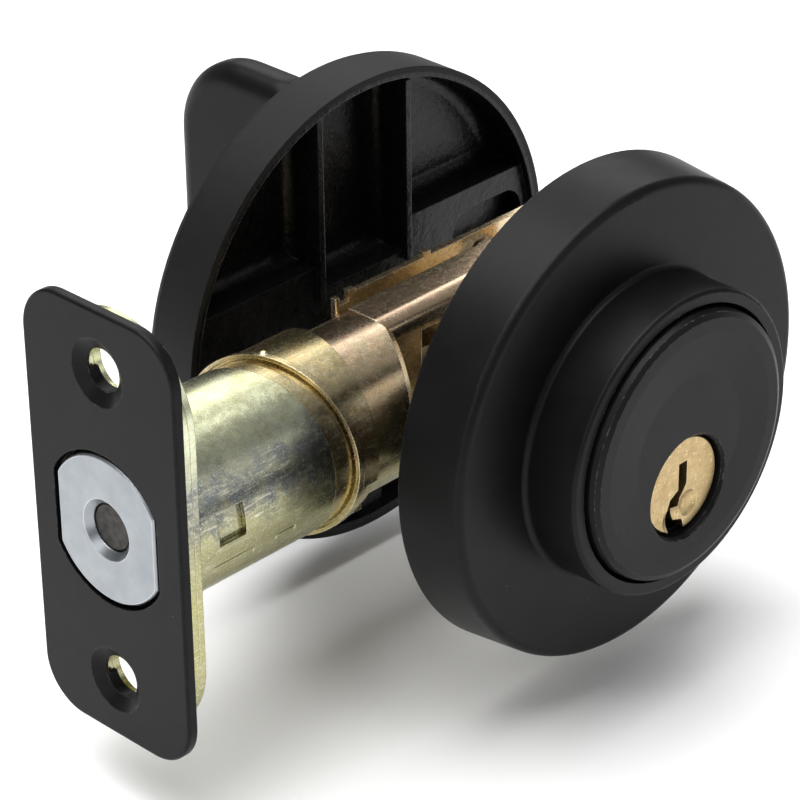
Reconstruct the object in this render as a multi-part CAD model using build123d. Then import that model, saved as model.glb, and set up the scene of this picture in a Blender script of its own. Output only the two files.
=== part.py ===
"""Single-cylinder deadbolt lock: bolt, keyed cylinder and thumb-turn, built straight as in a 35 mm door.

Frame: +Z up, the exterior rose faces -Y, the bolt points along -X. The origin is where the axis of the
door's cross bore (Y) meets the axis of the bolt (X). Lengths are millimetres.
"""
from build123d import *
from math import sqrt
import os

# ---------------------------------------------------------------- driving dimensions
BACKSET = 60.325            # door edge to cross-bore axis
EXTERIOR_FACE_Y = -19.0     # door face under the exterior rose
INTERIOR_FACE_Y = 16.0      # door face under the interior rose
TURN_Z = -5.6               # plug, tailpiece, cam and thumb-turn axis, below the bolt axis
BOLT_THROW = 25.4
RUN = 0.06                  # radial clearance of a running fit
POST_X = 14.3               # through-bolt posts stand at plus and minus this

# exterior rose
ROSE_R = 31.7
ROSE_FRONT_R = 30.8
ROSE_DEPTH = 8.9
ROSE_WALL = 2.0
ROSE_RIM_ROUND = 1.1
COLLAR_LIP_ROUND = 0.5
COLLAR_ROOT_ROUND = 0.7
COLLAR_R = 19.6
COLLAR_BORE_R = 17.9
COLLAR_HEIGHT = 7.8

# keyed cylinder
HEAD_R = 17.35
HEAD_STAND = 1.3            # head face in front of the collar's edge
HEAD_DISH = 0.35            # hollow of the head's face
SHOULDER_R = 22.0           # flange that carries the exterior rose
BARREL_R = 9.0
BIBLE_HALF = 4.3
PLUG_R = 6.35
PLUG_GAP = 0.3              # dark ring around the plug's front
PLUG_RECESS = 1.2
FIRST_PIN = 6.0             # from the head's edge to the first pin
ANTI_DRILL_X = 8.2
ANTI_DRILL_HALF = 4.0
PIN_R = 1.45
PIN_COUNT = 5
PIN_PITCH = 3.2
BIBLE_TOP_Z = 14.4
HOUSING_BACK_Y = -11.2
POST_R = 4.2
POST_BACK_Y = -11.1
SCREW_R = 1.85
PIN_FIT = 0.05              # clearance of pins and threads

# interior rose
INNER_ROSE_R = 32.1
INNER_ROSE_WALL = 1.4
INNER_ROSE_DEPTH = 8.0
POCKET_DEPTH = 5.9
PLATEAU_DEPTH = 1.1         # thick middle of the rose, below its rim
RIB_X = (-8.6, 7.1)
RIB_HALF = 0.45
POCKET_LOW_Z = (8.6, 5.2, 9.8)
POCKET_ROUND = 2.0
SPINDLE_R = 5.0

# thumb-turn paddle, measured from the turn axis
PADDLE_UP = 33.2
PADDLE_DOWN = 30.8
PADDLE_OUTER_Y = 49.3
PADDLE_THICK = 6.4
PADDLE_CORNER_R = 11.5

# faceplate and plates behind it
PLATE_WIDTH = 25.4
PLATE_HEIGHT = 57.15
PLATE_CORNER_R = 6.35
FACE_THICK = 1.3
BACK_WIDTH = 24.4           # round-ended plates behind the faceplate
BACK_HEIGHT = 54.8
MOUNT_THICK = 1.3
FLANGE_THICK = 1.1
SCREW_SPACING = 41.28
SCREW_HOLE_R = 2.7
SCREW_SINK_R = 4.3
SCREW_SINK_DEPTH = 1.0
HOLE_LIP_R = 3.25           # half collar pressed out behind each screw hole
HOLE_LIP_DEPTH = 2.5
HOLE_CLEAR_R = 3.5

# bolt
BOLT_R = 9.5
BOLT_FLAT = 8.25            # half width across the flats
BOLT_LENGTH = 40.0
BOLT_GAP = 0.55
CORE_R = 3.1                # bore for the hardened pin
CORE_BEVEL_R = 3.95
CORE_RECESS = 0.95
LINK_PIN_R = 0.95
LINK_PIN_BACK = 4.5         # from the bolt's rear to its cross pin
LINK_PIN_Z = 3.0

# sleeves; each cut is its x at the interior side and at the exterior side
FRONT_R = 11.4
BACKSET_R = 11.2
RING_R = 11.75
LIP_R = 12.05
TUBE_R = 10.5
TUBE_WALL = 0.7
SLEEVE_CUT = (-39.3, -34.3)
LIP_CUT = (-36.6, -31.2)
REAR_CUT = (-23.9, -27.4)
WINDOW_X = (-53.1, -48.9)
WINDOW_Z = (-0.8, 3.4)

# tail case
TUBE_START_X = -36.0
TUBE_END_X = -15.6
SHOULDER_Y = -2.6           # the tube's end slants forward from here to the exterior side
SHOULDER_SLOPE = 0.486
SHOULDER_BEVEL = 1.0
TAIL_END_X = 19.0
CASE_TOP_Z = 10.4
CASE_LOW_Z = -12.4
CASE_NEAR_Y = -2.5
CASE_FAR_Y = 7.4
SEAM_Y = 4.8
FLANGE_EDGE_Y = 4.2
BEND_R = 2.4
SHEET = 0.9

# cam, link and tailpiece
HUB_R = 5.0
DRIVE_PIN_R = 1.2
DRIVE_PIN_Z = TURN_Z + BOLT_THROW / 2
LEVER_HALF = 3.9
LEVER_TIP = 18.5
FORK_HALF = 2.35
FORK_BOTTOM = 11.3
LEVER_Y = (4.9, 6.2)
LINK_Y = (3.2, 4.6)
LINK_Z = (0.4, 5.4)
BLADE = (1.5, 5.6)          # tailpiece blade, thickness by height
BLADE_REACH = sqrt(BLADE[0] ** 2 + BLADE[1] ** 2) / 2
BLADE_FIT = 0.15
BAR_HALF = 1.3              # cross bar at the tailpiece's front
BAR_REACH = 4.3


# ---------------------------------------------------------------- building helpers
def disc_y(radius, y_low, y_high, x=0.0, z=0.0):
    """Round bar along Y."""
    return Pos(x, (y_low + y_high) / 2, z) * Rot(90, 0, 0) * Cylinder(radius, y_high - y_low)


def disc_x(radius, x_low, x_high, y=0.0, z=0.0):
    """Round bar along X."""
    return Pos((x_low + x_high) / 2, y, z) * Rot(0, 90, 0) * Cylinder(radius, x_high - x_low)


def disc_z(radius, z_low, z_high, x=0.0, y=0.0):
    """Round bar along Z."""
    return Pos(x, y, (z_low + z_high) / 2) * Cylinder(radius, z_high - z_low)


def block(x_low, x_high, y_low, y_high, z_low, z_high):
    """Box between two corners."""
    centre = Pos((x_low + x_high) / 2, (y_low + y_high) / 2, (z_low + z_high) / 2)
    return centre * Box(x_high - x_low, y_high - y_low, z_high - z_low)


def turned_y(points):
    """Solid of revolution about Y from (radius, y) points."""
    outline = Polyline(*points, close=True)
    return revolve(make_face(outline), Axis.Y)


def turned_x(points):
    """Solid of revolution about X from (x, radius) points."""
    outline = Polyline(*points, close=True)
    return revolve(make_face(outline), Axis.X)


def flat_y(points, y_low, y_high):
    """Flat plate across Y from its (x, z) outline, both measured from the turn axis."""
    outline = make_face(Polyline(*points, close=True))
    half = (y_high - y_low) / 2
    return Pos(0, y_low + half, TURN_Z) * extrude(Plane.XZ * outline, half, both=True)


def plate_x(width, height, corner, x_low, x_high):
    """Rounded plate standing across X."""
    outline = Plane.YZ * RectangleRounded(width, height, corner)
    return Pos(x_low, 0, 0) * extrude(outline, x_high - x_low)


def tube_x(outer, inner, x_low, x_high):
    """Open tube along X."""
    return disc_x(outer, x_low, x_high) - disc_x(inner, x_low - 1, x_high + 1)


def both_sides(low, high):
    """The same interval on either side of zero, as sorted pairs."""
    return [(low, high), (-high, -low)]


def around_turn(shape, degrees):
    """Turn a shape about the thumb-turn axis, positive towards the locked position."""
    axis = Axis((0, 0, TURN_Z), (0, -1, 0))
    return shape.rotate(axis, degrees)


def blade_slot(y_low, y_high):
    """Slot that the tailpiece blade slides into."""
    half_x, half_z = BLADE[0] / 2 + BLADE_FIT, BLADE[1] / 2 + BLADE_FIT
    return block(-half_x, half_x, y_low, y_high, TURN_Z - half_z, TURN_Z + half_z)


# ---------------------------------------------------------------- exterior rose and cylinder
rose_front_y = EXTERIOR_FACE_Y - ROSE_DEPTH
collar_front_y = rose_front_y - COLLAR_HEIGHT
head_front_y = collar_front_y - HEAD_STAND
web_y = rose_front_y + 2.2
flange_back_y = web_y + 2.5


def exterior_rose():
    """Dish with a raised collar; open towards the door."""
    body = turned_y([
        (COLLAR_BORE_R, web_y), (COLLAR_BORE_R, collar_front_y), (COLLAR_R, collar_front_y),
        (COLLAR_R, rose_front_y), (ROSE_FRONT_R, rose_front_y), (ROSE_R, EXTERIOR_FACE_Y),
        (ROSE_R - ROSE_WALL, EXTERIOR_FACE_Y), (ROSE_FRONT_R - ROSE_WALL, web_y),
    ])
    body = fillet(ring_edge(body, ROSE_FRONT_R, rose_front_y), ROSE_RIM_ROUND)
    body = fillet(ring_edge(body, COLLAR_R, collar_front_y), COLLAR_LIP_ROUND)
    return fillet(ring_edge(body, COLLAR_R, rose_front_y), COLLAR_ROOT_ROUND)


def ring_edge(shape, radius, y):
    """Circular edge about Y with this radius at this height."""
    return [
        edge for edge in shape.edges().filter_by(GeomType.CIRCLE)
        if abs(edge.radius - radius) < 0.01 and abs(edge.center().Y - y) < 0.01
    ]


def pin_positions():
    """Y of each pin stack, front to back."""
    first = head_front_y + FIRST_PIN
    return [first + PIN_PITCH * index for index in range(PIN_COUNT)]


def cylinder_housing():
    """Head disc, shoulder, plug barrel, pin bible and two threaded posts in one casting."""
    body = turned_y([
        (0, head_front_y + HEAD_DISH), (HEAD_R * 0.55, head_front_y + HEAD_DISH * 0.8),
        (HEAD_R - 2.6, head_front_y), (HEAD_R - 0.9, head_front_y), (HEAD_R - 0.2, head_front_y + 0.35),
        (HEAD_R, head_front_y + 1.0), (HEAD_R, web_y), (SHOULDER_R, web_y), (SHOULDER_R, flange_back_y),
        (0, flange_back_y),
    ])
    root_y = flange_back_y - 1
    body += disc_y(BARREL_R, root_y, HOUSING_BACK_Y, z=TURN_Z)
    body += block(-BIBLE_HALF, BIBLE_HALF, root_y, HOUSING_BACK_Y - 1.2, TURN_Z, BIBLE_TOP_Z)
    for x_low, x_high in both_sides(6, POST_X):
        body += block(x_low, x_high, root_y, -14.0, TURN_Z - 2, TURN_Z + 2)
    for x in (-POST_X, POST_X):
        body += disc_y(POST_R, root_y, POST_BACK_Y, x=x, z=TURN_Z)
        body -= disc_y(SCREW_R + PIN_FIT, flange_back_y - 6, POST_BACK_Y + 1, x=x, z=TURN_Z)
    body -= disc_y(PLUG_R + RUN, head_front_y - 2, HOUSING_BACK_Y + 2, z=TURN_Z)
    body -= plug_mouth()
    for y in pin_positions():
        body -= disc_z(PIN_R + PIN_FIT, TURN_Z, BIBLE_TOP_Z + 1, y=y)
    first, last = pin_positions()[0], pin_positions()[-1]
    body -= block(-2.3, 2.3, first - 2.0, last + 2.0, BIBLE_TOP_Z - 1.0, BIBLE_TOP_Z + 1)
    for bore in anti_drill_bars(PIN_FIT):
        body -= bore
    return body


def plug_mouth():
    """Step in the head that leaves a narrow ring around the plug's front."""
    gap = PLUG_R + PLUG_GAP
    mouth = turned_y([
        (0, head_front_y - 1), (gap + 0.3, head_front_y - 1), (gap + 0.3, head_front_y + HEAD_DISH),
        (gap, head_front_y + HEAD_DISH + 0.3), (gap, head_front_y + 2.4), (0, head_front_y + 2.4),
    ])
    return Pos(0, 0, TURN_Z) * mouth


def keyway():
    """Paracentric key slot along Y: straight above, stepped, wide and open below."""
    low = -PLUG_R - 1
    outline = [
        (-0.7, 3.1), (0.85, 3.1), (0.85, -0.1), (0.25, -0.9), (-0.4, -1.7), (-0.45, -2.9),
        (-1.8, -2.7), (-1.0, -4.7), (0.15, -4.9), (0.45, -5.9), (1.4, low), (-2.0, low),
        (-2.6, -4.4), (-2.6, -2.4), (-2.2, -1.3), (-0.7, -0.45),
    ]
    return flat_y(outline, plug_front_y - 2, plug_back_y - 4.2)


def relief(x, z, radius, depth):
    """Shallow round hollow in the plug's face, placed from the turn axis."""
    ball_r = (radius ** 2 + depth ** 2) / (2 * depth)
    return Pos(x, plug_front_y + depth - ball_r, TURN_Z + z) * Sphere(ball_r)


plug_front_y = head_front_y + PLUG_RECESS
plug_back_y = HOUSING_BACK_Y + 0.2
bar_y = (plug_back_y - 1.9, plug_back_y - 0.2)


def plug():
    """Brass plug with its keyway, pin chambers and a 90 degree lost-motion pocket at the back."""
    body = disc_y(PLUG_R, plug_front_y, plug_back_y, z=TURN_Z)
    front_edge = body.edges().filter_by(GeomType.CIRCLE).sort_by(Axis.Y)[0]
    body = chamfer(front_edge, 0.2)
    body -= keyway()
    body -= relief(1.1, -3.0, 1.8, 0.55)
    body -= relief(-1.5, -4.1, 2.0, 0.5)
    for y in pin_positions():
        body -= disc_z(PIN_R + PIN_FIT, TURN_Z - 1.0, TURN_Z + PLUG_R + 1, y=y)
    return body - lost_motion_pocket()


def lost_motion_pocket():
    """Two open quarters in which the tailpiece's cross bar is free."""
    pocket = disc_y(BAR_REACH + 0.3, bar_y[0] - 0.2, plug_back_y + 1, z=TURN_Z)
    wall = BAR_HALF + BLADE_FIT
    for side in (-1, 1):
        x_low, x_high = sorted((side * wall, side * 6))
        z_low, z_high = sorted((TURN_Z + side * wall, TURN_Z + side * 6))
        pocket -= block(x_low, x_high, bar_y[0] - 1, plug_back_y + 2, z_low, z_high)
    return pocket


def key_pins():
    """Key pins held at the shear line, their tops rounded to the plug."""
    shear = disc_y(PLUG_R - 0.03, plug_front_y, plug_back_y, z=TURN_Z)
    pins = []
    for index, y in enumerate(pin_positions()):
        cut = 0.4 * ((index * 2) % 3)
        low = TURN_Z - 0.4 + cut
        body = disc_z(PIN_R, low + 1.0, TURN_Z + PLUG_R + 1, y=y)
        tip = Pos(0, y, low + 0.5) * Cone(0.55, PIN_R, 1.0)
        pins.append((body + tip) & shear)
    return pins


driver_low_z = TURN_Z + PLUG_R + RUN + 0.02
driver_top_z = driver_low_z + 4.4


def driver_pins():
    """Driver pins standing on the shear line."""
    return [disc_z(PIN_R, driver_low_z, driver_top_z, y=y) for y in pin_positions()]


def pin_springs():
    """Pin springs between the driver pins and the cover."""
    base = driver_top_z + 0.28
    height = BIBLE_TOP_Z - 1.25 - base
    springs = []
    for y in pin_positions():
        path = Helix(1.6, height, 1.05)
        wire = sweep(Plane(path @ 0, z_dir=path % 0) * Circle(0.17), path, is_frenet=True)
        springs.append(Pos(0, y, base) * wire)
    return springs


def chamber_cover():
    """Strip that closes the pin chambers."""
    first, last = pin_positions()[0], pin_positions()[-1]
    return block(-2.25, 2.25, first - 1.95, last + 1.95, BIBLE_TOP_Z - 1.0, BIBLE_TOP_Z - 0.1)


def anti_drill_bars(grow):
    """Upright bars beside the plug, thicker and longer by grow."""
    y = head_front_y + 5.0
    half = ANTI_DRILL_HALF + grow
    return [disc_z(1.0 + grow, TURN_Z - half, TURN_Z + half, x=x, y=y) for x in (-ANTI_DRILL_X, ANTI_DRILL_X)]


def anti_drill_pins():
    """Hard steel pins beside the plug."""
    return anti_drill_bars(0.0)


def rose_retainer():
    """Split ring that keeps the exterior rose on the housing's shoulder."""
    y_low, y_high = flange_back_y + 0.05, flange_back_y + 1.25
    ring = disc_y(24.0, y_low, y_high) - disc_y(16.6, y_low - 1, y_high + 1)
    ring -= block(-3, 3, y_low - 1, y_high + 1, -26, -14)
    for x in (-POST_X, POST_X):
        ring -= disc_y(POST_R + 0.4, y_low - 1, y_high + 1, x=x, z=TURN_Z)
    return ring


def plug_cap():
    """Cap on the plug's back that keeps the plug and the tailpiece in place."""
    cap = disc_y(7.5, plug_back_y, plug_back_y + 1.3, z=TURN_Z)
    return cap - disc_y(BLADE_REACH + 0.3, plug_back_y - 1, plug_back_y + 3, z=TURN_Z)


def tailpiece():
    """Flat blade with a cross bar that sits in the plug's pocket."""
    bar = block(-BAR_HALF, BAR_HALF, bar_y[0], bar_y[1], TURN_Z - BAR_REACH, TURN_Z + BAR_REACH)
    half_x, half_z = BLADE[0] / 2, BLADE[1] / 2
    return bar + block(-half_x, half_x, bar_y[0], 22.6, TURN_Z - half_z, TURN_Z + half_z)


# ---------------------------------------------------------------- interior rose and thumb-turn
inner_front_y = INTERIOR_FACE_Y + INNER_ROSE_DEPTH
pocket_floor_y = INTERIOR_FACE_Y + POCKET_DEPTH
plateau_y = INTERIOR_FACE_Y + PLATEAU_DEPTH
cavity_r = INNER_ROSE_R - INNER_ROSE_WALL


def pocket(x_low, x_high, z_low):
    """One cast pocket above the shelf, with sloping walls and a rounded floor."""
    shape = disc_y(cavity_r, INTERIOR_FACE_Y - 1, pocket_floor_y)
    shape &= block(x_low, x_high, INTERIOR_FACE_Y - 2, pocket_floor_y + 1, z_low, 40)
    floor_edges = [
        edge for edge in shape.edges()
        if abs(edge.center().Y - pocket_floor_y) < 0.01 and edge.length > 3
    ]
    return fillet(floor_edges, POCKET_ROUND)


def interior_rose():
    """Dish with two ribs, three pockets and a thick shelf around the spindle."""
    shell = turned_y([
        (0, INTERIOR_FACE_Y), (INNER_ROSE_R, INTERIOR_FACE_Y), (INNER_ROSE_R, inner_front_y - 1.0),
        (INNER_ROSE_R - 0.3, inner_front_y - 0.3), (INNER_ROSE_R - 1.0, inner_front_y),
        (0, inner_front_y),
    ])
    below_rim = INTERIOR_FACE_Y - 1
    shell -= disc_y(cavity_r, below_rim, plateau_y)
    rights = [x - RIB_HALF for x in RIB_X] + [31.0]
    lefts = [-31.0] + [x + RIB_HALF for x in RIB_X]
    for x_low, x_high, z_low in zip(lefts, rights, POCKET_LOW_Z):
        shell -= pocket(x_low, x_high, z_low)
    for x in RIB_X:
        rib = block(x - RIB_HALF, x + RIB_HALF, INTERIOR_FACE_Y + 0.35, inner_front_y - 1, 4.0, 29.4)
        shell += rib & disc_y(cavity_r + 0.3, INTERIOR_FACE_Y, inner_front_y)
    lower = disc_y(cavity_r, below_rim, pocket_floor_y)
    for x_low, x_high in both_sides(2.0, 40.0):
        shell -= lower & block(x_low, x_high, 0, 40, -40, -15.0)
    shell -= shelf_slot()
    shell -= disc_y(SPINDLE_R, below_rim, inner_front_y + 1, z=TURN_Z)
    shell -= disc_y(8.4, below_rim, inner_front_y - 4.0, z=TURN_Z)
    for x in (-POST_X, POST_X):
        shell -= disc_y(2.3, below_rim, inner_front_y + 1, x=x, z=TURN_Z)
        shell -= screw_head(x, grow=0.12)
    return shell


def shelf_slot():
    """Blind slot with round ends in the shelf."""
    low_x, high_x, z, radius = 19.2, 26.0, 3.6, 3.2
    back_y = plateau_y + 2.6
    slot = block(low_x, high_x, INTERIOR_FACE_Y - 1, back_y, z - radius, z + radius)
    for x in (low_x, high_x):
        slot += disc_y(radius, INTERIOR_FACE_Y - 1, back_y, x=x, z=z)
    return slot


def screw_head(x, grow=0.0):
    """Countersunk head of a through bolt, flush with the interior rose."""
    y = inner_front_y
    profile = [(0, y - 2.6), (1.9 + grow, y - 2.6), (3.9 + grow, y - 0.4), (3.9 + grow, y), (0, y)]
    return Pos(x, 0, TURN_Z) * turned_y(profile)


def through_bolts():
    """Two machine screws from the interior rose into the housing's posts."""
    screws = []
    slot_y = (inner_front_y - 1.2, inner_front_y + 1)
    for x in (-POST_X, POST_X):
        shank = disc_y(SCREW_R, POST_BACK_Y - 9.0, inner_front_y - 2.5, x=x, z=TURN_Z)
        screw = shank + screw_head(x)
        screw -= disc_y(0.9, inner_front_y - 1.4, inner_front_y + 1, x=x, z=TURN_Z)
        screw -= block(x - 2.6, x + 2.6, *slot_y, TURN_Z - 0.4, TURN_Z + 0.4)
        screw -= block(x - 0.4, x + 0.4, *slot_y, TURN_Z - 2.6, TURN_Z + 2.6)
        screws.append(screw)
    return screws


def thumbturn():
    """Tall paddle with soft edges on a round base."""
    inner_y = inner_front_y + 2.4
    top, bottom = TURN_Z + PADDLE_UP, TURN_Z - PADDLE_DOWN
    outline = Plane.YZ * make_face(Polyline(
        (inner_y, bottom), (PADDLE_OUTER_Y, bottom), (PADDLE_OUTER_Y, top), (inner_y, top), close=True))
    paddle = extrude(outline, PADDLE_THICK / 2, both=True)
    corners = paddle.edges().filter_by(Axis.X).group_by(Axis.Y)[-1]
    paddle = fillet(corners, PADDLE_CORNER_R)
    inner_corners = paddle.edges().filter_by(Axis.X).group_by(Axis.Y)[0]
    paddle = fillet(inner_corners, 5.0)
    side_edges = paddle.faces().sort_by(Axis.X)[0].edges() + paddle.faces().sort_by(Axis.X)[-1].edges()
    paddle = fillet(side_edges, PADDLE_THICK / 2 - 0.45)
    base_y = inner_front_y + 0.25
    base = turned_y([
        (0, base_y), (9.0, base_y), (9.0, base_y + 1.25), (7.0, base_y + 2.95), (3.0, base_y + 5.25),
        (0, base_y + 5.25),
    ])
    return paddle + Pos(0, 0, TURN_Z) * base


def turn_spindle():
    """Spindle pressed into the paddle, with a slot for the tailpiece blade."""
    shaft = disc_y(SPINDLE_R - RUN, inner_front_y - 6.6, inner_front_y + 0.25, z=TURN_Z)
    groove = disc_y(SPINDLE_R + 1, inner_front_y - 5.6, inner_front_y - 4.9, z=TURN_Z)
    groove -= disc_y(4.0, inner_front_y - 6, inner_front_y - 4, z=TURN_Z)
    return shaft - groove - blade_slot(inner_front_y - 8, inner_front_y - 1.0)


def spindle_clip():
    """Open snap ring in the spindle's groove."""
    y_low = inner_front_y - 5.55
    ring = disc_y(6.6, y_low, y_low + 0.6, z=TURN_Z) - disc_y(4.05, y_low - 1, y_low + 2, z=TURN_Z)
    return ring - block(-1.2, 1.2, y_low - 1, y_low + 2, TURN_Z - 8, TURN_Z)


def spindle_washer():
    """Thrust washer between the snap ring and the rose."""
    y_low = inner_front_y - 4.75
    return disc_y(8.0, y_low, y_low + 0.65, z=TURN_Z) - disc_y(5.3, y_low - 1, y_low + 2, z=TURN_Z)


# ---------------------------------------------------------------- faceplate and plates
face_x = -BACKSET
face_back_x = face_x + FACE_THICK
mount_back_x = face_back_x + MOUNT_THICK
flange_back_x = mount_back_x + FLANGE_THICK
screw_z = (-SCREW_SPACING / 2, SCREW_SPACING / 2)


def bolt_section(grow, x_low, x_high):
    """Bolt cross-section, a round with two flats, as a bar along X."""
    bar = disc_x(BOLT_R + grow, x_low, x_high)
    return bar & block(x_low - 1, x_high + 1, -BOLT_FLAT - grow, BOLT_FLAT + grow, -15, 15)


def screw_bars(radius, x_low, x_high):
    """Bars on the two screw axes."""
    return [disc_x(radius, x_low, x_high, z=z) for z in screw_z]


def faceplate():
    """Finished plate at the door's edge; its countersinks end in half collars pressed out behind."""
    plate = plate_x(PLATE_WIDTH, PLATE_HEIGHT, PLATE_CORNER_R, face_x, face_back_x)
    plate = fillet(plate.faces().sort_by(Axis.X)[0].edges(), 0.4)
    plate -= bolt_section(BOLT_GAP, face_x - 1, face_back_x + 1)
    lip_end_x = face_x + HOLE_LIP_DEPTH
    for bar, z in zip(screw_bars(HOLE_LIP_R, face_back_x - 0.2, lip_end_x), screw_z):
        plate += bar & block(face_x, lip_end_x + 1, -5, 5, z - 5, z - 0.9)
    for bar in screw_bars(SCREW_HOLE_R, face_x - 1, lip_end_x + 1):
        plate -= bar
    sink = turned_x([
        (face_x - 0.1, 0), (face_x - 0.1, SCREW_SINK_R + 0.15),
        (face_x + SCREW_SINK_DEPTH, SCREW_HOLE_R), (face_x + SCREW_SINK_DEPTH, 0),
    ])
    for z in screw_z:
        plate -= Pos(0, 0, z) * sink
    return plate


def back_plate(shrink, x_low, x_high):
    """Round-ended plate behind the faceplate, its front edge broken."""
    width, height = BACK_WIDTH - shrink, BACK_HEIGHT - shrink
    plate = plate_x(width, height, width / 2 - 0.05, x_low, x_high)
    plate = chamfer(plate.faces().sort_by(Axis.X)[0].edges(), 0.25)
    for bar in screw_bars(HOLE_CLEAR_R, x_low - 1, x_high + 1):
        plate -= bar
    return plate


def mounting_plate():
    """Plain zinc plate between the faceplate and the sleeve's flange."""
    return back_plate(0.0, face_back_x, mount_back_x) - bolt_section(BOLT_GAP, face_x, flange_back_x)


# ---------------------------------------------------------------- sleeves
def behind_cut(cut, shift=0.0):
    """Space behind a slanting cut, given by its x at the interior and at the exterior side."""
    x_far, x_near = cut
    slope = (x_near - x_far) / (2 * FRONT_R)
    middle = (x_far + x_near) / 2 + shift
    points = [(middle + slope * 20, -20), (60, -20), (60, 20), (middle - slope * 20, 20)]
    return extrude(make_face(Polyline(*points, close=True)), 20, both=True)


def front_sleeve():
    """Rolled front tube with its flange, a window and a dovetailed seam."""
    sleeve = back_plate(0.4, mount_back_x, flange_back_x)
    sleeve += disc_x(FRONT_R, mount_back_x + 0.5, -30) - behind_cut(SLEEVE_CUT)
    sleeve -= disc_x(FRONT_R - TUBE_WALL, mount_back_x - 1, -20)
    sleeve -= block(*WINDOW_X, -15, -8, *WINDOW_Z)
    skin = disc_x(FRONT_R - 0.25, -60, -30)
    for x_low, x_high, z_low, z_high in seam_path():
        sleeve -= block(x_low, x_high, -14, -10.6, z_low, z_high) - skin
    return sleeve


def seam_path():
    """Fine grooves of the rolled seam: long runs joined by square tabs, as (x, x, z, z) boxes."""
    width = 0.22
    low, high = -4.9, -3.6
    stations = [-56.0, -53.4, -47.2, -43.6, -40.6]
    runs = []
    for index, (start, end) in enumerate(zip(stations, stations[1:])):
        z = high if index % 2 else low
        runs.append((start, end, z, z + width))
        runs.append((end - width, end, low, high + width))
    return runs


def bolt_guide():
    """Inner tube that guides the bolt behind the faceplate."""
    tube = disc_x(FRONT_R - TUBE_WALL - 0.05, flange_back_x, -40.0)
    return tube - bolt_section(0.28, flange_back_x - 1, -39)


def backset_sleeve():
    """Middle sleeve seen as a band between the front tube and the flared ring."""
    tube = tube_x(BACKSET_R, BACKSET_R - 0.65, -42, -20)
    tube &= behind_cut(SLEEVE_CUT, 0.05)
    tube -= behind_cut(REAR_CUT, -0.2)
    return tube - block(-38.2, -36.6, -0.6, 1.9, 9, 13)


def backset_ring():
    """Outer ring with a narrow raised lip, a dimple and a hooked end."""
    bore = BACKSET_R + 0.02
    ring = (tube_x(RING_R, bore, -42, -20) & behind_cut(LIP_CUT, 0.4)) - behind_cut(REAR_CUT)
    lip = (tube_x(LIP_R, LIP_R - 0.5, -42, -20) & behind_cut(LIP_CUT)) - behind_cut(LIP_CUT, 0.9)
    ring += lip
    ring -= block(-40, -31.9, -15, -10, -20, 0.9)
    ring -= block(-33.4, -32.5, -15, -10, 0.9, 4.6)
    dimple = Pos(-33.4, 1.4, RING_R - 0.2) * Sphere(0.75) - disc_x(RING_R - 0.3, -36, -30)
    corner = block(-29.2, -25, -15, -8, -20, -3.0)
    return ring + dimple - corner


# ---------------------------------------------------------------- tail case
def tube_end(radius, inset, bevel):
    """Solid inside of the tail's tube, whose end slants and is bevelled at the exterior side."""
    end_x = TUBE_END_X - inset
    reach = 20.0
    side_x = end_x - SHOULDER_SLOPE * (reach + SHOULDER_Y)
    keep_in = [
        (TUBE_START_X, -reach), (side_x, -reach), (end_x, SHOULDER_Y), (end_x, reach), (TUBE_START_X, reach),
    ]
    bar = disc_x(radius, TUBE_START_X, end_x)
    bar &= extrude(make_face(Polyline(*keep_in, close=True)), reach, both=True)
    rim = [edge for edge in bar.edges() if edge.center().X > TUBE_START_X + 5 and edge.length > 5]
    rim = [edge for edge in rim if edge.geom_type in (GeomType.CIRCLE, GeomType.ELLIPSE)]
    return chamfer(rim, bevel)


def link_slot():
    """Opening in the tube's end for the link."""
    room = 0.3
    z_low, z_high = LINK_Z
    return block(TUBE_END_X - 2, TUBE_END_X + 1, LINK_Y[0] - room, SEAM_Y + room, z_low - room, z_high + room)


def screw_clearances():
    """Bars that cut the through-bolt holes in both case halves."""
    return [disc_y(2.5, -12, 12, x=x, z=TURN_Z) for x in (-POST_X, POST_X)]


def rolled_channel(x_low, x_high):
    """Flat side with rolled upper and lower flanges."""
    outer = block(x_low, x_high, CASE_NEAR_Y, FLANGE_EDGE_Y, CASE_LOW_Z, CASE_TOP_Z)
    inner = block(x_low - 5, x_high + 5, CASE_NEAR_Y + SHEET, FLANGE_EDGE_Y + 5,
                  CASE_LOW_Z + SHEET, CASE_TOP_Z - SHEET)
    outer = fillet(outer.edges().filter_by(Axis.X).group_by(Axis.Y)[0], BEND_R)
    inner = fillet(inner.edges().filter_by(Axis.X).group_by(Axis.Y)[0], BEND_R - SHEET)
    return outer - inner


def tail_case_exterior():
    """Stamped half on the exterior side: half tube, bevelled shoulder, flat side and top flange."""
    tube = tube_end(TUBE_R, 0.0, SHOULDER_BEVEL)
    tube -= tube_end(TUBE_R - TUBE_WALL, SHEET, SHOULDER_BEVEL - 0.6)
    tube &= block(-60, 30, -15, SEAM_Y - 0.05, -15, 15)
    side = tube + rolled_channel(TUBE_END_X - SHEET + 0.1, TAIL_END_X - 2.0)
    side -= link_slot()
    side -= disc_y(HUB_R + RUN, -12, 0, z=TURN_Z)
    for bar in screw_clearances():
        side -= bar
    return side - block(-10.4, -3.6, -5, 0, 2.0, 7.4)


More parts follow.
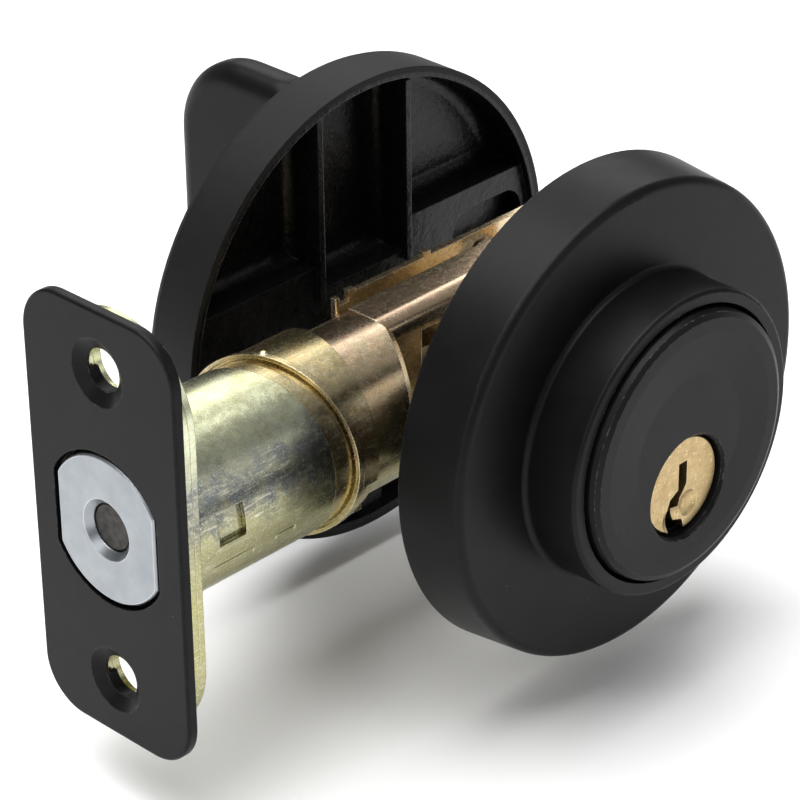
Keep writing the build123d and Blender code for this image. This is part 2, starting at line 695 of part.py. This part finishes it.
def tail_case_interior():
    """Stamped half on the interior side: the rest of the tube and a tall flat plate."""
    inner_y = CASE_FAR_Y - SHEET
    tube = tube_x(TUBE_R, TUBE_R - TUBE_WALL, TUBE_START_X, TUBE_END_X)
    side = tube & block(-60, 30, SEAM_Y + 0.05, 15, -15, 15)
    end_wall = disc_x(TUBE_R, TUBE_END_X - SHEET, TUBE_END_X)
    side += end_wall & block(-40, 0, inner_y, 15, -15, 15)
    side += block(TUBE_END_X - 0.6, TAIL_END_X, inner_y, CASE_FAR_Y, CASE_LOW_Z, CASE_TOP_Z + 0.2)
    side -= block(TUBE_END_X + 0.1, -13.9, 0, 10, 9.5, 13)
    side += block(-13.9, -12.7, inner_y, CASE_FAR_Y, 10.0, CASE_TOP_Z + 0.6)
    side += block(-0.5, 0.7, inner_y, CASE_FAR_Y, 10.0, CASE_TOP_Z + 0.8)
    side -= disc_y(HUB_R + RUN, 0, 12, z=TURN_Z)
    for bar in screw_clearances():
        side -= bar
    return side


def case_rivets():
    """Round spacers that join the two case halves below the moving parts."""
    y_low, y_high = CASE_NEAR_Y + SHEET, CASE_FAR_Y - SHEET
    return [disc_y(0.9, y_low, y_high, x=x, z=-8.8) for x in (-8.6, 10.0)]


# ---------------------------------------------------------------- bolt, link and cam
bolt_rear_x = face_x + BOLT_LENGTH
drive_pin_x = BOLT_THROW / 2


def bolt_head():
    """Thrown bolt with a bevelled centre hole and a slot for the link."""
    body = bolt_section(0.0, face_x, bolt_rear_x)
    body = chamfer(body.faces().sort_by(Axis.X)[0].edges(), 0.25)
    body -= disc_x(CORE_R, face_x - 1, bolt_rear_x - 7.8)
    body -= turned_x([(face_x - 0.1, 0), (face_x - 0.1, CORE_BEVEL_R + 0.1),
                      (face_x + CORE_RECESS - 0.1, CORE_R), (face_x + CORE_RECESS - 0.1, 0)])
    body -= block(bolt_rear_x - 9.0, bolt_rear_x + 1, LINK_Y[0] - 0.2, LINK_Y[1] + 0.2, -0.4, 6.2)
    return body - disc_y(LINK_PIN_R + PIN_FIT, -10, 10, x=bolt_rear_x - LINK_PIN_BACK, z=LINK_PIN_Z)


def hardened_pin():
    """Free-spinning hardened rod in the bolt's core."""
    rod = disc_x(CORE_R - 0.03, face_x + CORE_RECESS, bolt_rear_x - 8)
    return chamfer(rod.edges().filter_by(GeomType.CIRCLE).sort_by(Axis.X)[0], 0.25)


def bolt_link():
    """Flat link from the bolt to a raised ear that holds the drive pin."""
    ear_low, ear_high = drive_pin_x - 2.6, drive_pin_x + 2.6
    link = block(bolt_rear_x - 7.5, ear_high, *LINK_Y, *LINK_Z)
    link += block(ear_low, ear_high, *LINK_Y, LINK_Z[1] - 1, DRIVE_PIN_Z + 2.2)
    link -= disc_y(DRIVE_PIN_R, 0, 10, x=drive_pin_x, z=DRIVE_PIN_Z)
    return link - disc_y(LINK_PIN_R + PIN_FIT, 0, 10, x=bolt_rear_x - LINK_PIN_BACK, z=LINK_PIN_Z)


def link_pin():
    """Cross pin through the bolt and the link."""
    return disc_y(LINK_PIN_R, -7.9, 7.9, x=bolt_rear_x - LINK_PIN_BACK, z=LINK_PIN_Z)


def drive_pin():
    """Pin riveted in the link's ear, which the cam's fork pushes."""
    return disc_y(DRIVE_PIN_R, LINK_Y[0], LEVER_Y[1] + 0.1, x=drive_pin_x, z=DRIVE_PIN_Z)


def cam():
    """Hub with a blade slot and a forked lever on its interior side."""
    hub = disc_y(HUB_R, CASE_NEAR_Y - 0.4, CASE_FAR_Y + 0.4, z=TURN_Z)
    hub += disc_y(HUB_R + 0.5, CASE_NEAR_Y + BEND_R - 0.4, CASE_FAR_Y - SHEET - 0.15, z=TURN_Z)
    tip_round = LEVER_HALF - FORK_HALF
    half = [
        (LEVER_HALF, 0), (LEVER_HALF, LEVER_TIP - tip_round), (FORK_HALF, LEVER_TIP),
        (FORK_HALF, FORK_BOTTOM),
    ]
    mirrored = [(-x, z) for x, z in reversed(half)]
    lever = flat_y(half + mirrored, *LEVER_Y)
    return hub + around_turn(lever, -45) - blade_slot(-20, 20)


# ---------------------------------------------------------------- output
NODES = (
    exterior_rose, cylinder_housing, rose_retainer, plug, key_pins, driver_pins, pin_springs,
    chamber_cover, anti_drill_pins, plug_cap, tailpiece, interior_rose, through_bolts, thumbturn,
    turn_spindle, spindle_clip, spindle_washer, faceplate, mounting_plate, front_sleeve, bolt_guide,
    backset_sleeve, backset_ring, tail_case_exterior, tail_case_interior, case_rivets, bolt_head,
    hardened_pin, bolt_link, link_pin, drive_pin, cam,
)


def write_all(folder):
    """Build every node and write one STEP file for each."""
    os.makedirs(folder, exist_ok=True)
    for make in NODES:
        shape = make()
        solids = shape if isinstance(shape, list) else [shape]
        pieces = [solid for entry in solids for solid in entry.solids()]
        whole = pieces[0] if len(pieces) == 1 else Compound(children=pieces)
        export_step(whole, os.path.join(folder, make.__name__ + ".step"))


write_all("parts")
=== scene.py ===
"""Looks for the deadbolt: finishes for the CAD nodes, floor, light and camera."""
import math

import bpy
from mathutils import Euler, Matrix, Vector


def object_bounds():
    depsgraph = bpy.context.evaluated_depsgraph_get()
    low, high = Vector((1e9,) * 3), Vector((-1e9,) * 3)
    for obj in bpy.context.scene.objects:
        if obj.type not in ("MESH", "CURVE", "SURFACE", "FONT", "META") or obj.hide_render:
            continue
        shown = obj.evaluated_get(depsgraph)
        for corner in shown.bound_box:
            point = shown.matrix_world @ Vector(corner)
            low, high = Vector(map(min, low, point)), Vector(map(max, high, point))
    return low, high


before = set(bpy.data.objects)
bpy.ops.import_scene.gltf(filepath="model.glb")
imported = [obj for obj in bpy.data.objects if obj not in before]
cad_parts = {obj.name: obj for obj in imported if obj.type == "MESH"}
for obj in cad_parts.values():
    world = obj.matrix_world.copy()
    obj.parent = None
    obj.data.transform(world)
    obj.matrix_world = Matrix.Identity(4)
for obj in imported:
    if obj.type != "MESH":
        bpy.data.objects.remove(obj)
cad_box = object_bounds()

MM = 0.001

# camera, at the photograph's viewing angle
CAMERA_PLACE = Vector((-273.6, -255.6, 203.7)) * MM
CAMERA_AZIMUTH = -45.69
CAMERA_ELEVATION = 29.44
CAMERA_ROLL = -0.63
CAMERA_LENS = 152.2

# interior rose: rough casting within this radius, smooth coat beyond it
CAST_RADIUS = 31.3 * MM
SMOOTH_ROUGHNESS = 0.56

# floor
FLOOR_HALF = 3.0
FLOOR_GAP = 0.0003

# softboxes: name, place, width, height, power
SOFTBOXES = (
    ("top_softbox", (-0.10, 0.10, 0.95), 1.0, 1.0, 16.5),
    ("left_softbox", (-0.95, -0.10, 0.45), 0.5, 0.8, 2.3),
    ("front_softbox", (0.35, -0.95, 0.45), 0.7, 0.6, 1.4),
    ("back_softbox", (0.70, 0.62, 0.62), 0.7, 0.5, 2.8),
)
WORLD_STRENGTH = 0.22


# ---------------------------------------------------------------- shader helper
class Finish:
    """A material under construction: noise, ramps and bumps in the object's own coordinates."""

    def __init__(self, name, **sockets):
        self.material = bpy.data.materials.new(name)
        self.material.use_nodes = True
        self.tree = self.material.node_tree
        self.shader = self.tree.nodes["Principled BSDF"]
        self.place = self.add("ShaderNodeTexCoord").outputs["Object"]
        for socket, value in sockets.items():
            self.shader.inputs[socket.replace("_", " ")].default_value = value

    def add(self, kind, inputs=None, **settings):
        """New node with its settings and inputs, which may be values or sockets."""
        node = self.tree.nodes.new(kind)
        for key, value in settings.items():
            setattr(node, key, value)
        for key, value in (inputs or {}).items():
            self.feed(node.inputs[key], value)
        return node

    def feed(self, socket, value):
        """Link a socket to an input, or set the input to a value."""
        if isinstance(value, bpy.types.NodeSocket):
            self.tree.links.new(value, socket)
        else:
            socket.default_value = value

    def stretch(self, x, y, z):
        """Object coordinates scaled along each axis, so that a pattern runs the other way."""
        return self.add("ShaderNodeMapping", {"Vector": self.place, "Scale": (x, y, z)}).outputs[0]

    def noise(self, size, detail=2.0, rough=0.5, vector=None, warp=0.0):
        """Noise whose blobs are about size millimetres across."""
        inputs = {
            "Vector": vector or self.place, "Scale": 1000.0 / size, "Detail": detail,
            "Roughness": rough, "Distortion": warp,
        }
        return self.add("ShaderNodeTexNoise", inputs).outputs["Fac"]

    def cells(self, size):
        """Distance to the nearest of scattered points, size millimetres apart."""
        inputs = {"Vector": self.place, "Scale": 1000.0 / size}
        return self.add("ShaderNodeTexVoronoi", inputs, feature="F1").outputs["Distance"]

    def ramp(self, source, stops):
        """Colour ramp from (position, colour) stops; a number is a grey."""
        node = self.add("ShaderNodeValToRGB", {"Fac": source})
        elements = node.color_ramp.elements
        while len(elements) < len(stops):
            elements.new(0.5)
        for element, (position, colour) in zip(elements, stops):
            element.position = position
            grey = isinstance(colour, (int, float))
            element.color = (colour, colour, colour, 1) if grey else (*colour, 1)
        return node.outputs["Color"]

    def math(self, operation, a, b=0.0):
        """One arithmetic step on numbers or sockets."""
        node = self.add("ShaderNodeMath", operation=operation)
        self.feed(node.inputs[0], a)
        self.feed(node.inputs[1], b)
        return node.outputs[0]

    def mix(self, factor, a, b):
        """Colour between a and b, where the factor is 0 and 1."""
        node = self.add("ShaderNodeMix", data_type="RGBA", blend_type="MIX")
        self.feed(node.inputs[0], factor)
        self.feed(node.inputs[6], a if isinstance(a, bpy.types.NodeSocket) else (*a, 1))
        self.feed(node.inputs[7], b if isinstance(b, bpy.types.NodeSocket) else (*b, 1))
        return node.outputs[2]

    def between(self, source, low, high):
        """Source stretched from 0..1 to low..high."""
        node = self.add("ShaderNodeMapRange", {"Value": source, "To Min": low, "To Max": high})
        return node.outputs["Result"]

    def bump(self, height, depth, normal=None):
        """Bump of a height map, depth millimetres at full strength."""
        inputs = {"Height": height, "Distance": depth * MM, "Strength": 1.0}
        if normal is not None:
            inputs["Normal"] = normal
        return self.add("ShaderNodeBump", inputs).outputs["Normal"]

    def edges(self, radius):
        """(mask that is 1 on sharp edges, rounded normal)."""
        rounded = self.add("ShaderNodeBevel", {"Radius": radius * MM}, samples=4).outputs["Normal"]
        flat = self.add("ShaderNodeNewGeometry").outputs["Normal"]
        dot = self.add("ShaderNodeVectorMath", {0: rounded, 1: flat}, operation="DOT_PRODUCT")
        mask = self.add("ShaderNodeMapRange", {
            "Value": dot.outputs["Value"], "From Min": 0.995, "From Max": 0.93, "To Min": 0.0, "To Max": 1.0,
        })
        return mask.outputs["Result"], rounded

    def finish(self, colour, roughness, normal=None):
        """The finished material."""
        self.feed(self.shader.inputs["Base Color"], colour)
        self.feed(self.shader.inputs["Roughness"], roughness)
        if normal is not None:
            self.feed(self.shader.inputs["Normal"], normal)
        return self.material


# ---------------------------------------------------------------- finishes
def satin_black():
    """Black powder coat: soft orange peel, a few dust specks, and edges lightened in patches: partly rubbed
    wear, partly painted edge highlight.
    """
    f = Finish("satin_black_coat", Specular_IOR_Level=0.13)
    base = f.ramp(f.noise(7.0, 3.0, 0.6), [(0.3, (0.0030, 0.0030, 0.0034)), (0.7, (0.0052, 0.0052, 0.0060))])
    specks = f.math("LESS_THAN", f.cells(3.1), 0.028)
    sparse = f.math("GREATER_THAN", f.noise(9.0, 1.0), 0.54)
    base = f.mix(f.math("MULTIPLY", specks, sparse), base, (0.12, 0.12, 0.12))
    edge, rounded = f.edges(0.2)
    # edges lightened in noisy patches: partly rubbed wear, partly painted edge highlight
    rub_and_edge_highlight = f.math("MULTIPLY", edge, f.ramp(f.noise(0.9, 4.0, 0.7), [(0.50, 0.05), (0.66, 1.0)]))
    base = f.mix(rub_and_edge_highlight, base, (0.16, 0.15, 0.14))
    rough = f.between(f.noise(1.6, 3.0, 0.6), 0.34, 0.46)
    peel = f.bump(f.noise(0.55, 2.0, 0.5), 0.006, rounded)
    return f.finish(base, rough, f.bump(f.noise(0.14, 1.0, 0.5), 0.0015, peel))


def black_casting():
    """Coat over rough die casting on both faces of the rose, smooth only at its rim."""
    f = Finish("black_casting_coat", Specular_IOR_Level=0.22)
    base = f.ramp(f.noise(1.2, 4.0, 0.7), [(0.3, (0.0022, 0.0022, 0.0026)), (0.75, (0.006, 0.006, 0.0066))])
    edge, rounded = f.edges(0.25)
    # edges lightened in noisy patches: partly rubbed wear, partly painted edge glint
    rub_and_edge_highlight = f.math("MULTIPLY", edge, f.ramp(f.noise(0.7, 3.0, 0.7), [(0.5, 0.0), (0.7, 0.7)]))
    base = f.mix(rub_and_edge_highlight, base, (0.06, 0.06, 0.06))
    flat = f.add("ShaderNodeVectorMath", {0: f.place, 1: (1.0, 0.0, 1.0)}, operation="MULTIPLY").outputs[0]
    radius = f.add("ShaderNodeVectorMath", {0: flat}, operation="LENGTH").outputs["Value"]
    inside = f.math("LESS_THAN", radius, CAST_RADIUS)
    worn = f.between(f.noise(0.5, 3.0, 0.6), 0.20, 0.38)
    gloss = f.math("MULTIPLY", inside, f.math("SUBTRACT", SMOOTH_ROUGHNESS, worn))
    rough = f.math("SUBTRACT", SMOOTH_ROUGHNESS, gloss)
    coarse_height = f.math("MULTIPLY", f.noise(1.5, 3.0, 0.65), inside)
    grain_height = f.math("MULTIPLY", f.noise(0.35, 2.0, 0.6), inside)
    coarse = f.bump(coarse_height, 0.12, rounded)
    return f.finish(base, rough, f.bump(grain_height, 0.03, coarse))


# chromate tint with painted reflection bands around the bolt axis: 0 on top, 0.5 at either side, 1
# underneath
SLEEVE_TINT_AND_REFLECTION_BANDS = [
    (0.00, (0.56, 0.55, 0.28)), (0.12, (0.76, 0.79, 0.52)), (0.22, (0.66, 0.70, 0.50)),
    (0.32, (0.20, 0.22, 0.22)), (0.44, (0.14, 0.15, 0.14)), (0.52, (0.36, 0.35, 0.18)),
    (0.68, (0.46, 0.44, 0.19)), (1.00, (0.34, 0.32, 0.15)),
]
RING_TINT_AND_REFLECTION_BANDS = [
    (0.00, (0.50, 0.38, 0.16)), (0.18, (0.76, 0.62, 0.34)), (0.34, (0.18, 0.12, 0.06)),
    (0.48, (0.34, 0.24, 0.11)), (0.62, (0.60, 0.50, 0.22)), (1.00, (0.38, 0.32, 0.16)),
]
TAIL_TINT_AND_REFLECTION_BANDS = [
    (0.00, (0.66, 0.44, 0.30)), (0.18, (0.76, 0.58, 0.36)), (0.32, (0.50, 0.34, 0.20)),
    (0.48, (0.46, 0.38, 0.16)), (0.70, (0.58, 0.53, 0.22)), (1.00, (0.40, 0.34, 0.18)),
]


def yellow_zinc(name, tint_and_reflection_bands):
    """Yellow chromated zinc: chromate tint with painted reflection bands that change around the bolt axis,
    fine grain and handling scratches.
    """
    f = Finish(name, Metallic=1.0)
    parts = f.add("ShaderNodeSeparateXYZ", {0: f.place}).outputs
    angle = f.math("ARCTAN2", f.math("MULTIPLY", parts["Y"], -1.0), parts["Z"])
    turn = f.math("DIVIDE", f.math("ABSOLUTE", angle), math.pi)
    drift = f.between(f.noise(5.0, 3.0, 0.6, warp=1.2), -0.11, 0.11)
    # painted reflection: colour set by the angle around the bolt axis, lighter near the top and a dark band
    # at the sides
    tint = f.ramp(f.math("ADD", turn, drift), tint_and_reflection_bands)
    cloud = f.ramp(f.noise(2.2, 4.0, 0.75), [(0.42, 0.0), (0.62, 0.5)])
    tint = f.mix(cloud, tint, (0.46, 0.43, 0.26))
    grain = f.ramp(f.noise(0.22, 2.0, 0.7), [(0.56, 0.0), (0.68, 0.5)])
    tint = f.mix(grain, tint, (0.84, 0.83, 0.72))
    marks = f.noise(0.35, 3.0, 0.8, vector=f.stretch(0.12, 1.0, 1.0))
    tint = f.mix(f.ramp(marks, [(0.54, 0.0), (0.72, 0.6)]), tint, (0.84, 0.82, 0.66))
    edge, rounded = f.edges(0.15)
    # sharp edges lighter: partly the bare cut-edge colour, partly painted edge highlight
    tint = f.mix(f.math("MULTIPLY", edge, 0.6), tint, (0.86, 0.76, 0.58))
    rough = f.between(f.noise(0.8, 4.0, 0.7), 0.16, 0.36)
    wave = f.bump(f.noise(6.0, 2.0, 0.5), 0.05, rounded)
    pits = f.bump(f.noise(0.24, 2.0, 0.6), 0.0035, wave)
    return f.finish(tint, rough, f.bump(marks, 0.004, pits))


def bright_zinc():
    """Bright plated bolt with small marks."""
    f = Finish("bright_bolt", Metallic=1.0)
    tint = f.ramp(f.noise(5.0, 3.0, 0.6), [(0.3, (0.27, 0.29, 0.31)), (0.7, (0.35, 0.37, 0.39))])
    marks = f.noise(0.3, 3.0, 0.8, vector=f.stretch(1.0, 1.0, 0.15))
    tint = f.mix(f.ramp(marks, [(0.60, 0.0), (0.74, 0.5)]), tint, (0.30, 0.31, 0.32))
    edge, rounded = f.edges(0.2)
    # painted edge highlight: sharp edges lighter
    tint = f.mix(f.math("MULTIPLY", edge, 0.7), tint, (0.82, 0.84, 0.86))
    rough = f.between(f.noise(0.7, 3.0, 0.6), 0.26, 0.40)
    return f.finish(tint, rough, f.bump(f.noise(1.1, 3.0, 0.5), 0.004, rounded))


def dark_steel():
    """Hardened steel, dark and slightly pitted."""
    f = Finish("dark_steel_rod", Metallic=1.0)
    tint = f.ramp(f.noise(0.8, 3.0, 0.6), [(0.3, (0.03, 0.028, 0.026)), (0.7, (0.075, 0.07, 0.065))])
    rough = f.between(f.noise(0.4, 3.0, 0.6), 0.35, 0.6)
    return f.finish(tint, rough, f.bump(f.noise(0.4, 2.0), 0.02))


def plain_steel():
    """Plain steel with drawn marks."""
    f = Finish("plain_steel", Metallic=1.0)
    tint = f.ramp(f.noise(2.0, 3.0, 0.6), [(0.3, (0.42, 0.42, 0.41)), (0.7, (0.56, 0.55, 0.53))])
    rounded = f.edges(0.12)[1]
    marks = f.noise(0.3, 3.0, 0.7, vector=f.stretch(0.2, 1.0, 1.0))
    rough = f.between(marks, 0.25, 0.45)
    return f.finish(tint, rough, f.bump(marks, 0.004, rounded))


def brass():
    """Pale brass with fine scratches both ways and a few small pits."""
    f = Finish("worn_brass", Metallic=1.0)
    tint = f.ramp(f.noise(1.6, 3.0, 0.6), [(0.3, (0.38, 0.27, 0.12)), (0.7, (0.52, 0.39, 0.20))])
    upright = f.noise(0.16, 3.0, 0.7, vector=f.stretch(1.0, 1.0, 0.12))
    level = f.noise(0.20, 3.0, 0.7, vector=f.stretch(0.14, 1.0, 1.0))
    scratches = f.math("MULTIPLY", upright, level)
    tint = f.mix(f.ramp(scratches, [(0.17, 0.6), (0.25, 0.0)]), tint, (0.44, 0.32, 0.17))
    tint = f.mix(f.ramp(scratches, [(0.30, 0.0), (0.37, 0.7)]), tint, (0.86, 0.72, 0.46))
    pits = f.math("LESS_THAN", f.cells(0.9), 0.09)
    tint = f.mix(f.math("MULTIPLY", pits, 0.8), tint, (0.14, 0.10, 0.06))
    edge, rounded = f.edges(0.1)
    # painted edge highlight: sharp edges lighter
    tint = f.mix(f.math("MULTIPLY", edge, 0.7), tint, (0.95, 0.86, 0.66))
    rough = f.between(f.noise(0.5, 3.0, 0.6), 0.30, 0.46)
    return f.finish(tint, rough, f.bump(scratches, 0.006, rounded))


def floor_finish():
    """Plain pale paper."""
    f = Finish("pale_floor", Specular_IOR_Level=0.2)
    base = f.ramp(f.noise(60.0, 2.0), [(0.3, (0.93, 0.93, 0.93)), (0.7, (0.95, 0.95, 0.95))])
    return f.finish(base, f.between(f.noise(4.0, 2.0), 0.7, 0.8))


def wear(finish_material, *names):
    """Gives CAD nodes a finish."""
    for name in names:
        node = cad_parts[name]
        node.data.materials.clear()
        node.data.materials.append(finish_material)


def dress():
    """Every CAD node gets its finish."""
    wear(satin_black(), "exterior_rose", "cylinder_housing", "through_bolts", "thumbturn", "faceplate")
    wear(black_casting(), "interior_rose")
    wear(yellow_zinc("yellow_zinc_front", SLEEVE_TINT_AND_REFLECTION_BANDS), "mounting_plate", "front_sleeve", "bolt_guide")
    wear(yellow_zinc("yellow_zinc_middle", RING_TINT_AND_REFLECTION_BANDS), "backset_sleeve", "backset_ring")
    wear(
        yellow_zinc("yellow_zinc_tail", TAIL_TINT_AND_REFLECTION_BANDS), "tail_case_exterior", "tail_case_interior",
        "bolt_link",
    )
    wear(bright_zinc(), "bolt_head")
    wear(dark_steel(), "anti_drill_pins", "hardened_pin")
    wear(
        plain_steel(), "rose_retainer", "pin_springs", "tailpiece", "turn_spindle", "spindle_clip",
        "spindle_washer", "case_rivets", "link_pin", "cam", "drive_pin",
    )
    wear(brass(), "plug", "key_pins", "driver_pins", "chamber_cover", "plug_cap")


# ---------------------------------------------------------------- floor, light and camera
def link(obj):
    """Put an object in the scene."""
    bpy.context.scene.collection.objects.link(obj)
    return obj


def floor():
    """Plain pale floor under the lowest point."""
    half, height = FLOOR_HALF, cad_box[0][2] - FLOOR_GAP
    mesh = bpy.data.meshes.new("floor")
    corners = [(-half, -half, height), (half, -half, height), (half, half, height), (-half, half, height)]
    mesh.from_pydata(corners, [], [(0, 1, 2, 3)])
    mesh.materials.append(floor_finish())
    ground = link(bpy.data.objects.new("floor", mesh))


def softbox(name, place, width, height, power):
    """Area light that looks at the lock."""
    light = bpy.data.lights.new(name, "AREA")
    light.shape = "RECTANGLE"
    light.size = width
    light.size_y = height
    light.energy = power
    lamp = link(bpy.data.objects.new(name, light))
    lamp.location = place
    lamp.rotation_euler = (-Vector(place)).to_track_quat("-Z", "Y").to_euler()


def lights():
    """Softboxes and a dim even world."""
    for settings in SOFTBOXES:
        softbox(*settings)
    world = bpy.data.worlds.new("studio")
    bpy.context.scene.world = world
    world.use_nodes = True
    background = world.node_tree.nodes["Background"]
    background.inputs["Color"].default_value = (1, 1, 1, 1)
    background.inputs["Strength"].default_value = WORLD_STRENGTH


def camera():
    """Camera at the photograph's angle."""
    data = bpy.data.cameras.new("camera")
    data.lens = CAMERA_LENS
    data.clip_start = 0.01
    eye = link(bpy.data.objects.new("camera", data))
    tilt = Euler((math.radians(90 - CAMERA_ELEVATION), 0, math.radians(CAMERA_AZIMUTH)), "XYZ")
    roll = Matrix.Rotation(math.radians(CAMERA_ROLL), 4, "Z")
    eye.matrix_world = Matrix.Translation(CAMERA_PLACE) @ tilt.to_matrix().to_4x4() @ roll
    bpy.context.scene.camera = eye


bpy.context.scene.view_settings.view_transform = "Standard"
dress()
floor()
lights()
camera()
